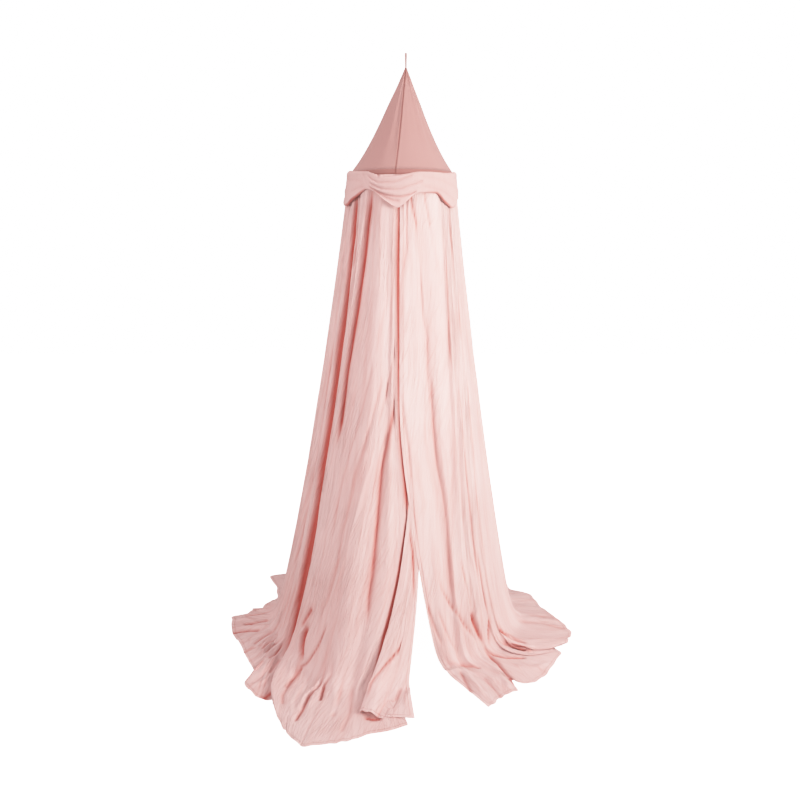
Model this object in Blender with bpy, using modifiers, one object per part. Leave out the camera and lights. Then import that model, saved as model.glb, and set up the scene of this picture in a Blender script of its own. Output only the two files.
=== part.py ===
"""Bed canopy of plain cotton: a cone-shaped top sewn over a hoop, a swagged band round
the hoop, and one long flared skirt that opens at the front and spreads over the floor.

Metres, +Z up, the front towards -Y. The origin is the top of the hanging loop, so the
floor that the hem lies on is at z = FLOOR. Bearings run round the canopy in degrees,
from 0 at the front through the viewer's left (90) to the back (180).
"""
import bpy
import bmesh
import numpy as np

# ---- driving sizes, in metres -------------------------------------------------------
HEIGHT = 2.472           # top of the hanging loop to the floor
FLOOR = -HEIGHT
CLOTH = 0.0016           # thickness of the washed cotton
GAP = 0.0003             # between pieces that touch

HOOP_HEIGHT = 1.9925     # middle of the hoop's wire, above the floor
HOOP_RADIUS = 0.2165     # to the middle of the wire
HOOP_ASIDE = -0.017      # the cone leans a little: how far the hoop's middle is to the left
WIRE = 0.008             # diameter of the hoop's wire

TIP_HEIGHT = 2.414       # where the cone's tip closes round the loop's tails
TIP_RADIUS = 0.0034
SKIRT_HEIGHT = 1.976     # top of the skirt, sewn under the cone's hem
SKIRT_RADIUS = 0.2212

TAPE = 0.0012            # thickness of the hanging tape
TAPE_WIDTH = 0.0085      # at the top of the loop
TAIL_WIDTH = 0.0036      # where the two tails go down into the tip
TAIL_DEPTH = 0.010       # how far the tails reach into the cone
LOOP_HALF = 0.0075       # half the loop's widest opening

COTTON = (0.87, 0.68, 0.63)
COTTON_SHADED = (0.78, 0.58, 0.53)
TAPE_COLOUR = (0.55, 0.40, 0.38)
WIRE_COLOUR = (0.85, 0.85, 0.84)

# ---- the cone: height above the floor and radius, down its side ---------------------
CONE_SIDE = [
    # height, radius
    (TIP_HEIGHT, TIP_RADIUS),
    (2.358, 0.0262),
    (2.273, 0.0655),
    (2.203, 0.0965),
    (2.118, 0.1380),
    (2.046, 0.1800),
    (2.008, 0.2065),
]
CASING = 0.0056          # from the middle of the wire to the middle of the cloth over it
CASING_TURN = (110, 75, 40, 0)   # degrees from level, where the cone goes over the wire

CONE_ROWS = 9            # points down the side, above the casing
CONE_COLUMNS = 48

# ---- the band: one row for each tack and each low point of its lower edge -----------
BAND_ROWS = [
    # bearing, upper edge, lower edge (heights above the floor)
    (-74, 2.000, 1.852),
    (-34, 1.9885, 1.918),
    (-1, 1.984, 1.847),
    (24, 1.981, 1.903),
    (37, 1.990, 1.921),
    (72, 2.000, 1.862),
    (108, 2.001, 1.920),
    (143, 2.000, 1.856),
    (179, 2.000, 1.920),
    (215, 2.000, 1.853),
    (250, 2.000, 1.918),
]
BAND_STANDOFF = [
    # share of the way down, distance outside the plain wall of the skirt
    (0.00, 0.0024),
    (0.05, 0.0065),
    (0.14, 0.0095),
    (0.50, 0.0095),
    (1.00, 0.0085),
]
BAND_ROLL = 0.004        # how far the upper edge puffs up above its own line
SWAGS = 2.5              # soft folds between the upper and the lower edge
SWAG_DEPTH = 0.0022

# ---- the skirt: a row for each fold, in order round the cloth -----------------------
# Bearings and depths are given at four heights: the top, the middle, low down and the
# foot, where the cloth turns out on to the floor. A depth is how far the cloth stands
# proud (+) or falls back (-) of the plain flared wall, in millimetres. The hem point is
# where the cloth's edge lies on the floor, in metres from the hoop's middle, lifted by
# some millimetres.
LEVELS = (SKIRT_HEIGHT, 1.10, 0.50, 0.0)
FOLDS = [
    # name, bearings, depths, hem point, lift, columns to the next row
    ("left side's free edge", (-9, -10, -7, -2), (-5, -14, -8, 0), (0.046, -0.820), 13, 2),
    ("strip", (-3, -4, -4, 6), (-5, -9, -2, 8), (-0.100, -0.815), 17, 3),
    ("pleat, turned edge", (0.5, 0, -1, 11), (-4, -6, 0, 12), (-0.149, -0.800), 15, 1),
    ("pleat, turned under", (0.7, 0.2, -1, 11), (-5, -8, -2, 8), (-0.149, -0.801), 11, 3),
    ("pleat, hidden back", (2, 1, -3, 3), (-6, -44, -32, -24), (0.020, -0.860), 7, 1),
    ("pleat, turned back", (2.2, 1.2, -2.8, 3), (-6, -47, -35, -29), (0.020, -0.861), 3, 3),
    ("pleat, mouth", (5.5, 4.5, 2, 13), (-2, -10, -16, -24), (-0.124, -0.920), 0.5, 2),
    ("narrow ridge", (8, 6.5, 6, 15), (1, 3, 6, 8), (-0.194, -0.950), 1, 2),
    ("hollow by the ridge", (12, 9, 12.5, 17), (1, -4, -24, -6), (-0.244, -0.965), 0, 2),
    ("broad front of the left side", (20, 17, 21, 24), (3, 10, 15, 14), (-0.329, -0.980), 0, 3),
    ("second hollow", (31, 36, 35, 37), (-5, -12, -2, -2), (-0.394, -0.925), 0, 2),
    ("ridge before the deep fold", (39, 42, 42, 48), (2, 8, 12, 16), (-0.444, -0.845), 2, 2),
    ("deep fold, upper side", (43.5, 44.5, 47, 57), (1, 5, 8, 17), (-0.474, -0.768), 12, 2),
    ("deep fold, turned edge", (45, 45.5, 48.5, 59), (0, 3, 5, 13), (-0.486, -0.730), 11, 1),
    ("deep fold, turned under", (45.3, 45.8, 48.3, 58.8), (-1, 1, 2, 9), (-0.486, -0.729), 8, 3),
    ("deep fold, hidden back", (47.5, 47.5, 48, 53), (-6, -48, -48, -32), (-0.458, -0.700), 5, 1),
    ("deep fold, turned back", (47.8, 47.8, 48.3, 53), (-7, -51, -51, -37), (-0.457, -0.699), 2, 3),
    ("deep fold, mouth", (51, 51.5, 54, 62), (-3, -9, -14, -26), (-0.519, -0.695), 0.5, 2),
    ("ridge beyond it", (56, 57, 60, 66), (2, 10, 12, 8), (-0.560, -0.600), 1, 2),
    ("hollow at the notch", (62, 64, 65, 70), (-3, -12, -12, -4), (-0.600, -0.480), 0, 2),
    ("left ridge", (70, 73, 74, 76), (2, 6, 8, 8), (-0.684, -0.300), 0, 2),
    ("left hollow", (79, 81, 82, 82), (-3, -10, -10, -6), (-0.779, -0.090), 0, 2),
    ("left corner", (90, 91, 92, 90), (3, 7, 7, 4), (-0.744, 0.020), 0, 2),
    ("rear left hollow", (101, 101, 101, 98), (-3, -12, -12, -6), (-0.674, 0.050), 0, 2),
    ("rear left ridge", (112, 111, 110, 106), (2, 8, 10, 6), (-0.594, 0.140), 0, 2),
    ("hollow 122", (124, 122, 121, 116), (-4, -14, -16, -8), (-0.624, 0.300), 0, 2),
    ("ridge 134", (136, 134, 133, 127), (2, 8, 10, 8), (-0.679, 0.440), 0, 2),
    ("hollow 149", (150, 149, 148, 144), (-5, -16, -18, -10), (-0.494, 0.520), 0, 2),
    ("ridge 164", (165, 164, 163, 160), (3, 10, 12, 8), (-0.284, 0.650), 0, 2),
    ("hollow 180", (180, 180, 179, 178), (-5, -18, -20, -10), (-0.014, 0.620), 0, 2),
    ("ridge 195", (194, 195, 196, 197), (3, 10, 12, 8), (0.216, 0.670), 0, 2),
    ("hollow 210", (208, 209, 211, 213), (-5, -15, -18, -8), (0.386, 0.540), 0, 2),
    ("ridge 224", (222, 223, 225, 228), (2, 8, 10, 8), (0.516, 0.410), 0, 2),
    ("hollow 238", (236, 237, 239, 242), (-4, -14, -14, -6), (0.545, 0.280), 0, 2),
    ("rear right ridge", (250, 251, 252, 254), (2, 8, 8, 6), (0.635, 0.200), 0, 2),
    ("rear right hollow", (262, 262, 263, 265), (-3, -8, -8, -4), (0.660, 0.100), 0, 2),
    ("right ridge", (272, 273, 275, 277), (3, 7, 7, 6), (0.730, -0.080), 0, 2),
    ("right hollow", (284, 287, 290, 290), (-3, -9, -8, -4), (0.755, -0.170), 1, 2),
    ("right fold, upper side", (297, 301, 305, 302), (1, 5, 8, 12), (0.717, -0.262), 10, 2),
    ("right fold, turned edge", (300, 304, 308, 305), (2, 5, 8, 8), (0.690, -0.302), 9, 1),
    ("right fold, turned under", (300.2, 304.2, 308, 304.8), (1, 3, 5, 4), (0.690, -0.301), 6, 2),
    ("right fold, hidden back", (302.5, 307, 313, 301), (-3, -10, -18, -28), (0.660, -0.285), 4, 1),
    ("right fold, turned back", (302.7, 307.2, 313, 301), (-3, -11, -20, -32), (0.661, -0.283), 2, 3),
    ("right fold, mouth", (304.5, 309.5, 315, 310), (-1, -6, -12, -24), (0.672, -0.345), 0.5, 2),
    ("ridge in front of it", (308, 313, 318, 316), (2, 4, 8, 4), (0.607, -0.470), 0, 2),
    ("hollow 321", (311, 316, 321, 321), (-1, -6, -12, -8), (0.545, -0.555), 0, 2),
    ("ridge 324", (313.5, 319, 324, 323), (1, 3, 6, 6), (0.490, -0.590), 0, 2),
    ("hollow at the small notch", (316, 322, 328, 327), (-3, -9, -2, -2), (0.443, -0.565), 0, 2),
    ("ridge 331", (326, 331, 331, 330), (2, 5, 5, 8), (0.447, -0.629), 0, 2),
    ("long hollow on the right", (340, 340, 335, 333), (-2, -11, -15, -8), (0.408, -0.657), 0, 2),
    ("right side's broad ridge", (351, 350, 344, 338), (2, 6, 12, 12), (0.362, -0.705), 0, 3),
    ("right side's free edge", (362, 361.5, 354, 343), (3.5, 5, 4, 2), (0.324, -0.744), 1, 0),
]
FOOT = [
    # bearing, radius at which the plain wall reaches the floor
    (-17, 0.495), (-10, 0.530), (0, 0.610), (20, 0.655), (40, 0.620), (60, 0.580),
    (90, 0.573), (120, 0.530), (180, 0.480), (240, 0.480), (270, 0.505), (300, 0.500),
    (343, 0.495), (350, 0.530), (360, 0.610), (365, 0.620),
]
SEWN_SHARE = 0.4         # how much of its depth a fold has where the cloth is sewn on
FOLDS_OPEN = 0.030       # how far below that it has all of it
WALL_ROWS = 16           # rows of faces down the hanging part
FLOOR_ROWS = 8           # and out along the floor
HEM_SETTLES = 0.5        # how far the hem sinks out of the rounded foot's long tail, in mm


def smooth(xs, ys, x):
    """Values read from the rows (xs, ys) along a smooth curve that never overshoots them."""
    xs, ys, x = (np.asarray(values, float) for values in (xs, ys, x))
    run = np.diff(xs)
    rise = np.diff(ys) / run
    slope = np.zeros(len(xs))
    same_way = rise[:-1] * rise[1:] > 0
    shared = 2 * rise[:-1] * rise[1:] / np.where(same_way, rise[:-1] + rise[1:], 1.0)
    slope[1:-1] = np.where(same_way, shared, 0.0)
    slope[0], slope[-1] = rise[0], rise[-1]
    row = np.clip(np.searchsorted(xs, x, side="right") - 1, 0, len(xs) - 2)
    share = np.clip((x - xs[row]) / run[row], 0.0, 1.0)
    stay = (1 + 2 * share) * (1 - share) ** 2
    lean = run[row] * share * (1 - share)
    return (stay * ys[row] + (1 - stay) * ys[row + 1]
            + lean * ((1 - share) * slope[row] - share * slope[row + 1]))


def point(bearing, radius, height):
    """A point from its bearing in degrees, its radius and its height above the floor,
    both round the hoop's middle."""
    turn = np.radians(bearing)
    place = [HOOP_ASIDE - radius * np.sin(turn), -radius * np.cos(turn), FLOOR + height]
    return np.stack(np.broadcast_arrays(*place), axis=-1)


def wall(bearing, height):
    """Radius of the skirt's plain wall, which flares a little faster towards the floor."""
    share = np.clip(1 - height / SKIRT_HEIGHT, 0, 1)
    turn = np.where(bearing < FOOT[0][0], bearing + 360, bearing)
    spread = smooth(*np.array(FOOT).T, turn) - SKIRT_RADIUS
    return SKIRT_RADIUS + spread * (0.72 * share + 0.28 * share ** 2)


def material(name, colour, roughness, metallic=0.0):
    made = bpy.data.materials.new(name)
    made.use_nodes = True
    shader = made.node_tree.nodes["Principled BSDF"]
    shader.inputs["Base Color"].default_value = (*colour, 1.0)
    shader.inputs["Roughness"].default_value = roughness
    shader.inputs["Metallic"].default_value = metallic
    made.diffuse_color = (*colour, 1.0)
    return made


def cloth(name, points, closed, thickness, finish):
    """A sheet on a grid of points (columns, rows, 3), thickened evenly to both sides.
    Columns run clockwise seen from above and rows run down, so the faces look outwards."""
    columns, rows = points.shape[:2]
    mesh = bpy.data.meshes.new(name)
    grid = bmesh.new()
    bmesh.ops.create_grid(grid, x_segments=columns - 1, y_segments=rows - 1, size=0.5)
    for vert in grid.verts:
        column = round((vert.co.x + 0.5) * (columns - 1))
        row = round((0.5 - vert.co.y) * (rows - 1))
        vert.co = points[column, row]
    if closed:
        bmesh.ops.remove_doubles(grid, verts=grid.verts, dist=1e-6)
    grid.to_mesh(mesh)
    grid.free()
    mesh.shade_smooth()
    mesh.materials.append(finish)
    sheet = bpy.data.objects.new(name, mesh)
    wall = sheet.modifiers.new("Thickness", "SOLIDIFY")
    wall.thickness = thickness
    wall.offset = 0.0
    parts.objects.link(sheet)
    return sheet


def make_hanging_loop():
    """A flat tape bent into a loop, its two tails side by side down in the cone's tip."""
    tail_gap = (TAPE + GAP) / 2
    tail_low = TIP_HEIGHT - HEIGHT - TAIL_DEPTH
    neck = TIP_HEIGHT - HEIGHT
    side = [
        # sideways, height, width of the tape
        (tail_gap, tail_low, TAIL_WIDTH),
        (tail_gap, neck, TAIL_WIDTH),
        (0.0022, neck + 0.008, 0.0050),
        (LOOP_HALF * 0.8, neck + 0.026, 0.0072),
        (LOOP_HALF, neck + 0.040, TAPE_WIDTH),
        (LOOP_HALF * 0.72, -TAPE / 2 - 0.0035, TAPE_WIDTH),
        (0.0, -TAPE / 2, TAPE_WIDTH),
    ]
    along = np.arange(len(side))
    fine = np.linspace(0, len(side) - 1, 25)
    across, height, width = (smooth(along, column, fine) for column in np.array(side).T)
    across = np.concatenate([across, -across[-2::-1]])
    height = np.concatenate([height, height[-2::-1]])
    width = np.concatenate([width, width[-2::-1]])
    edges = [np.stack([half * width, across, height], axis=-1) for half in (0.5, -0.5)]
    cloth("hanging_loop", np.array(edges), False, TAPE, material("cotton tape", TAPE_COLOUR, 0.9))


def make_cone_top():
    """A sewn cone whose sides sag in a little, and whose hem is turned down over the hoop."""
    height, radius = np.array(CONE_SIDE).T
    rows = np.arange(len(height))
    down = np.linspace(0, rows[-1], CONE_ROWS)
    over = np.radians(CASING_TURN)
    height = np.concatenate([smooth(rows, height, down), HOOP_HEIGHT + CASING * np.sin(over),
                             [SKIRT_HEIGHT + 2 * GAP]])
    radius = np.concatenate([smooth(rows, radius, down), HOOP_RADIUS + CASING * np.cos(over),
                             [HOOP_RADIUS + CASING]])
    bearing = np.linspace(0, 360, CONE_COLUMNS + 1)
    side = point(bearing[:, None], radius, height)
    upward = np.clip((height - HOOP_HEIGHT) / (TIP_HEIGHT - HOOP_HEIGHT), 0, 1)
    side[..., 0] -= HOOP_ASIDE * upward
    cloth("cone_top", side, True, CLOTH, material("cotton, shaded", COTTON_SHADED, 0.9))


def make_hoop():
    bpy.ops.mesh.primitive_torus_add(
        major_radius=HOOP_RADIUS, minor_radius=WIRE / 2, major_segments=72, minor_segments=8,
        location=(HOOP_ASIDE, 0, FLOOR + HOOP_HEIGHT))
    hoop = bpy.context.object
    hoop.name = "hoop"
    hoop.data.shade_smooth()
    hoop.data.materials.append(material("coated wire", WIRE_COLOUR, 0.4))
    bpy.context.collection.objects.unlink(hoop)
    parts.objects.link(hoop)


def make_band():
    """A loose band tacked up at five places, so it hangs in swags between them."""
    bearings, upper, lower = np.array(BAND_ROWS + [(286, *BAND_ROWS[0][1:])]).T
    bearing = np.concatenate([
        np.linspace(start, end, max(3, round((end - start) / 5)) + 1)[:-1]
        for start, end in zip(bearings[:-1], bearings[1:])] + [[286]])[:, None]
    down = np.array([0, 0.05, 0.12, 0.22, 0.34, 0.46, 0.58, 0.70, 0.82, 0.92, 1.0])
    top = smooth(bearings, upper, bearing)
    low = np.interp(bearing, bearings, lower)
    height = top + (low - top) * down + BAND_ROLL * np.sin(np.pi * np.clip(down / 0.2, 0, 1))
    radius = wall(bearing, height) + smooth(*np.array(BAND_STANDOFF).T, down)
    swag = SWAG_DEPTH * np.sin(2 * np.pi * SWAGS * down) * np.clip(down / 0.2, 0, 1)
    cloth("band", point(bearing, radius + swag, height), True, CLOTH,
          material("cotton, band", COTTON, 0.9))


def bend(distance, softness):
    """Distance where it is positive and 0 where it isn't, with a rounded corner between."""
    return (distance + np.sqrt(distance ** 2 + softness ** 2)) / 2


def make_skirt():
    """One cloth: it hangs from the hoop in uneven folds, turns out at the foot and lies
    on the floor. Its two front edges overlap above and part lower down."""
    count = len(FOLDS)
    at = np.concatenate([np.linspace(i, i + 1, fold[5] + 1)[:-1] for i, fold in
                         enumerate(FOLDS[:-1])] + [[count - 1]])
    rows = np.arange(count)
    bearings = np.array([smooth(rows, column, at) for column in zip(*[f[1] for f in FOLDS])])
    depths = np.array([smooth(rows, column, at) for column in zip(*[f[2] for f in FOLDS])])
    hem = np.array([smooth(rows, column, at) for column in zip(*[f[3] for f in FOLDS])])
    lift = smooth(rows, [f[4] for f in FOLDS], at) / 1000

    fall = SKIRT_HEIGHT * (1 - np.linspace(0, 1, WALL_ROWS + 1)) ** 1.3
    spread = np.linspace(0, 1, FLOOR_ROWS + 1)[1:]
    foot = point(bearings[3], wall(bearings[3], 0.0) + depths[3] / 1000, 0.0)[:, :2]
    hem[0] += HOOP_ASIDE
    run = np.linalg.norm(hem.T - foot, axis=1)
    softness = 0.018 + 0.0012 * (depths[3] + 30) + 1.5 * lift

    columns = []
    for i in range(len(at)):
        distance = np.concatenate([fall, -run[i] * spread])
        height = bend(distance, softness[i]) * SKIRT_HEIGHT / bend(SKIRT_HEIGHT, softness[i])
        out = bend(-distance, softness[i])
        level = np.clip(distance, 0, None)
        bearing = smooth(LEVELS[::-1], bearings[::-1, i], level)
        gathered = np.clip((SKIRT_HEIGHT - level) / FOLDS_OPEN, SEWN_SHARE, 1)
        depth = smooth(LEVELS[::-1], depths[::-1, i], level) / 1000 * gathered
        radius = wall(bearing, level) + depth
        resting = np.clip(out / run[i], 0, 1)
        raised = (lift[i] - HEM_SETTLES / 1000) * resting ** 0.7
        way = (hem[:, i] - foot[i]) / run[i]
        column = point(bearing, radius, height + raised)
        column[:, :2] += way * out[:, None]
        columns.append(column)
    cloth("skirt", np.array(columns), False, CLOTH, material("cotton", COTTON, 0.9))


for thing in list(bpy.data.objects):
    bpy.data.objects.remove(thing)
parts = bpy.data.collections.new("bed_canopy")
bpy.context.scene.collection.children.link(parts)

make_hanging_loop()
make_cone_top()
make_hoop()
make_band()
make_skirt()
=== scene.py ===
"""Cotton bed canopy on a hoop: tape loop, sewn cone, swagged band and a long skirt that
lies in pools on the floor. Metres, +Z up, the front towards -Y, the origin at the top of
the loop. Bearings run round the canopy in degrees, from 0 at the front through the
viewer's left (90) to the back (180)."""

import bpy
import numpy as np
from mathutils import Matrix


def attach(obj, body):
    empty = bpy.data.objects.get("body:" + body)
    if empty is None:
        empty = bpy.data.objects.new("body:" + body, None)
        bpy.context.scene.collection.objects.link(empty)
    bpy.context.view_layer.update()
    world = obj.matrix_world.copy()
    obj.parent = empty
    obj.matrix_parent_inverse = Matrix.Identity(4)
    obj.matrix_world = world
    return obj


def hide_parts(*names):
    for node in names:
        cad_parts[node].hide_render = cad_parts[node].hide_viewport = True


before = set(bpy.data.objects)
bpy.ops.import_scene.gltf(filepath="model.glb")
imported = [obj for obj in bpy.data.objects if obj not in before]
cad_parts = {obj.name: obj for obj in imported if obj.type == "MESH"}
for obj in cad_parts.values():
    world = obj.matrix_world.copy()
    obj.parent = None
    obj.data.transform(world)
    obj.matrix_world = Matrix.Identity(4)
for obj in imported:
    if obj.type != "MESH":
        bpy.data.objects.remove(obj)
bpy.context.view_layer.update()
FLOOR = -2.472
HOOP_ASIDE = -0.017      # the hoop's middle hangs a little left of the loop

# ---- camera and studio --------------------------------------------------------------
# The canopy is photographed from the front at the height of a standing viewer's chest,
# against seamless white. The light is soft and comes mostly from the right, and the
# exposure is full, so that the film's shoulder turns the lit cloth pale.
LENS = 35.15             # mm, on film 36 mm wide
EYE_ASIDE, EYE_AWAY = -0.024, 3.40       # metres from the line through the loop
EYE_HEIGHT = 1.70        # above the floor
EYE_DOWN = 11.16339      # degrees below level
camera = bpy.data.objects.new("camera", bpy.data.cameras.new("camera"))
camera.data.sensor_width = 36.0
camera.data.lens = LENS
camera.location = (EYE_ASIDE, -EYE_AWAY, FLOOR + EYE_HEIGHT)
camera.rotation_euler = (np.radians(90 - EYE_DOWN), 0, 0)
bpy.context.scene.collection.objects.link(camera)
bpy.context.scene.camera = camera

FILM_WHITE = 2.0         # the light value that the film shows as white
FILM = [
    # light value, value that the film shows
    (0.25, 0.25), (0.50, 0.49), (0.70, 0.65), (0.90, 0.77), (1.10, 0.855), (1.35, 0.915),
    (1.65, 0.965),
]
film = bpy.context.scene.view_settings
film.view_transform = "Standard"
film.use_curve_mapping = True
film.curve_mapping.white_level = (FILM_WHITE,) * 3
for light, shown in FILM:
    film.curve_mapping.curves[3].points.new(light / FILM_WHITE, shown)
film.curve_mapping.update()


def linear(code):
    """An sRGB hex colour as the linear (r, g, b, 1) that shaders take."""
    parts = np.array([int(code[i:i + 2], 16) / 255 for i in (1, 3, 5)])
    curve = np.where(parts <= 0.04045, parts / 12.92, ((parts + 0.055) / 1.055) ** 2.4)
    return (*curve.tolist(), 1.0)


def add(tree, kind, settings=(), **inputs):
    """Adds a node with its settings, and sets or links its inputs by name. An input's
    underscores stand for spaces; one named in_1 is the second input of an unnamed set."""
    node = tree.nodes.new("ShaderNode" + kind)
    for name, value in dict(settings).items():
        setattr(node, name, value)
    for name, value in inputs.items():
        at = int(name[3:]) if name.startswith("in_") else name.replace("_", " ")
        if isinstance(value, bpy.types.NodeSocket):
            tree.links.new(value, node.inputs[at])
        else:
            node.inputs[at].default_value = value
    return node


def ramp(tree, share, low, high):
    """A colour ramp from the hex colour low at share 0 to high at share 1."""
    made = add(tree, "ValToRGB", Fac=share)
    made.color_ramp.elements[0].color = linear(low)
    made.color_ramp.elements[1].color = linear(high)
    return made


def shader_tree(name):
    """A new material without nodes, and its node tree."""
    made = bpy.data.materials.new(name)
    made.use_nodes = True
    made.node_tree.nodes.clear()
    return made, made.node_tree


PAPER_HALF = 9           # metres, from its middle to its edge
PAPER_TOP = FLOOR - 0.001        # clear of the cloth
floor_mesh = bpy.data.meshes.new("floor")
floor_mesh.from_pydata([(PAPER_HALF * x, PAPER_HALF * y, PAPER_TOP)
                        for x, y in ((-1, -1), (1, -1), (1, 1), (-1, 1))], [], [(0, 1, 2, 3)])
floor = bpy.data.objects.new("floor", floor_mesh)
bpy.context.scene.collection.objects.link(floor)
paper, tree = shader_tree("white studio paper, blown out to white")
seen = add(tree, "LightPath")
matt = add(tree, "BsdfDiffuse", Color=linear("#B4ACAA"))
glow = add(tree, "Emission", Color=linear("#FFFFFF"), Strength=1.9)
both = add(tree, "AddShader", in_0=matt.outputs[0], in_1=glow.outputs[0])
paper_look = add(tree, "MixShader", in_0=seen.outputs["Is Camera Ray"], in_1=matt.outputs[0],
                 in_2=both.outputs[0])
add(tree, "OutputMaterial", Surface=paper_look.outputs[0])
floor_mesh.materials.append(paper)

world = bpy.data.worlds.new("studio")
bpy.context.scene.world = world
world.use_nodes = True
tree = world.node_tree
tree.nodes.clear()
seen = add(tree, "LightPath")
lit = add(tree, "Background", Color=linear("#FFF6F7"), Strength=0.86)
backdrop = add(tree, "Background", Color=(1, 1, 1, 1), Strength=FILM_WHITE)
sky = add(tree, "MixShader", in_0=seen.outputs["Is Camera Ray"], in_1=lit.outputs[0],
          in_2=backdrop.outputs[0])
add(tree, "OutputWorld", Surface=sky.outputs[0])

for name, place, aim, size, beam, power, tint in (
        ("key, level with the chest on the right", (3.6, -2.4, -0.6), (0.1, 0.0, -0.95), 1.5, 95,
         78, "#FFFCF8"),
        ("fill, high on the left", (-2.9, -2.4, -0.2), (-0.1, 0.0, -0.8), 1.8, 100, 27,
         "#FFF4F2"),
        ("soft light overhead", (0.0, -1.3, 1.2), (0.0, -0.9, -2.4), 2.0, 160, 13, "#FFFFFF")):
    lamp = bpy.data.lights.new(name, "AREA")
    lamp.shape, lamp.size, lamp.energy, lamp.color = "DISK", size, power, linear(tint)[:3]
    lamp.spread = np.radians(beam)
    thing = bpy.data.objects.new(name, lamp)
    thing.location = place
    toward = np.array(aim) - np.array(place)
    thing.rotation_euler = (np.arccos(-toward[2] / np.linalg.norm(toward)), 0,
                            np.arctan2(toward[1], toward[0]) - np.pi / 2)
    bpy.context.scene.collection.objects.link(thing)

# ---- the hanging loop ---------------------------------------------------------------
# A flat woven cotton tape, folded into a loop and sewn into the cone's tip by its two
# tails. Seen from the front it is edge-on above and twists flat towards the tip.
TAPE = 0.0012            # thickness of the tape
LOOP_SIDE = [
    # sideways, height, width of the tape
    (0.00075, -0.070, 0.0062),
    (0.00075, -0.057, 0.0062),
    (0.0022, -0.050, 0.0062),
    (0.0060, -0.032, 0.0068),
    (0.0075, -0.018, 0.0076),
    (0.0054, -0.0041, 0.0080),
    (0.0, -0.0006, 0.0080),
]


def smooth(xs, ys, x):
    """Reads the rows (xs, ys) at x along a curve that never overshoots them: a cubic in
    each interval, whose slope at a row is the harmonic mean of the slopes on its two
    sides, or nothing where they differ in sign. ys may have further axes."""
    xs, ys, x = (np.asarray(values, float) for values in (xs, ys, x))
    deep = (slice(None),) + (None,) * (ys.ndim - 1)
    run = np.diff(xs)[deep]
    rise = np.diff(ys, axis=0) / run
    slope = np.zeros_like(ys)
    same_way = rise[:-1] * rise[1:] > 0
    shared = 2 * rise[:-1] * rise[1:] / np.where(same_way, rise[:-1] + rise[1:], 1.0)
    slope[1:-1] = np.where(same_way, shared, 0.0)
    slope[0], slope[-1] = rise[0], rise[-1]
    row = np.clip(np.searchsorted(xs, x, side="right") - 1, 0, len(xs) - 2)
    share = np.clip((x - xs[row]) / np.diff(xs)[row], 0.0, 1.0)
    share = share.reshape(share.shape + (1,) * (ys.ndim - 1))
    stay = (1 + 2 * share) * (1 - share) ** 2
    lean = run[row] * share * (1 - share)
    return (stay * ys[row] + (1 - stay) * ys[row + 1]
            + lean * ((1 - share) * slope[row] - share * slope[row + 1]))


def surface(name, points, across, down, finish, shades=None, round_it=False):
    """A mesh on a grid of points (columns, rows, 3), with across and down, both in metres,
    as its UV map, and each of the named shades as an attribute. Columns run clockwise
    seen from above and rows run down, so that the faces look outwards."""
    columns, rows = points.shape[:2]
    kept = columns - 1 if round_it else columns
    column, row = np.meshgrid(np.arange(columns - 1), np.arange(rows - 1), indexing="ij")
    corners = np.stack([(column, row), (column, row + 1), (column + 1, row + 1),
                        (column + 1, row)], axis=-1).reshape(2, -1, 4)
    faces = (corners[0] % kept) * rows + corners[1]
    mesh = bpy.data.meshes.new(name)
    mesh.from_pydata(points[:kept].reshape(-1, 3).tolist(), [], faces.tolist())
    across, down = np.broadcast_arrays(across, down)
    place = np.stack([across[corners[0], corners[1]], down[corners[0], corners[1]]], axis=-1)
    mesh.uv_layers.new(name="cloth").data.foreach_set("uv", place.ravel())
    for shade, values in (shades or {}).items():
        values = np.broadcast_to(values, points.shape[:2])[:kept].astype(np.float32)
        mesh.attributes.new(shade, "FLOAT", "POINT").data.foreach_set("value", values.ravel())
    mesh.shade_smooth()
    mesh.materials.append(finish)
    piece = bpy.data.objects.new(name, mesh)
    bpy.context.scene.collection.objects.link(piece)
    return piece


# Twill tape: matt, a little darker than the cloth, with ribs across it 2 mm apart.
tape, tree = shader_tree("woven cotton tape")
at = add(tree, "TexCoord")
ribs = add(tree, "TexWave", {"bands_direction": "Y"}, Vector=at.outputs["UV"], Scale=160.0,
           Distortion=1.5, Detail=2.0)
relief = add(tree, "Bump", Strength=0.6, Distance=0.0004, Height=ribs.outputs["Fac"])
tones = ramp(tree, ribs.outputs["Fac"], "#84625F", "#A4807B")
matt = add(tree, "BsdfPrincipled", Base_Color=tones.outputs[0], Roughness=0.9,
           Normal=relief.outputs[0])
add(tree, "OutputMaterial", Surface=matt.outputs[0])

along = np.linspace(0, len(LOOP_SIDE) - 1, 49)
side = smooth(np.arange(len(LOOP_SIDE)), LOOP_SIDE, along)
side = np.concatenate([side, side[-2::-1] * (-1, 1, 1)])
length = np.concatenate([[0], np.cumsum(np.linalg.norm(np.diff(side[:, :2], axis=0), axis=1))])
half = np.linspace(0.5, -0.5, 7)[:, None]
loop = surface("tape_loop", np.stack(np.broadcast_arrays(half * side[:, 2], side[:, 0], side[:, 1]),
                                     axis=-1), half * side[:, 2], length, tape)
wall_of = loop.modifiers.new("Thickness", "SOLIDIFY")
wall_of.thickness, wall_of.offset = TAPE, 0.0
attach(loop, "root")
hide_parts("hanging_loop")

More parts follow.
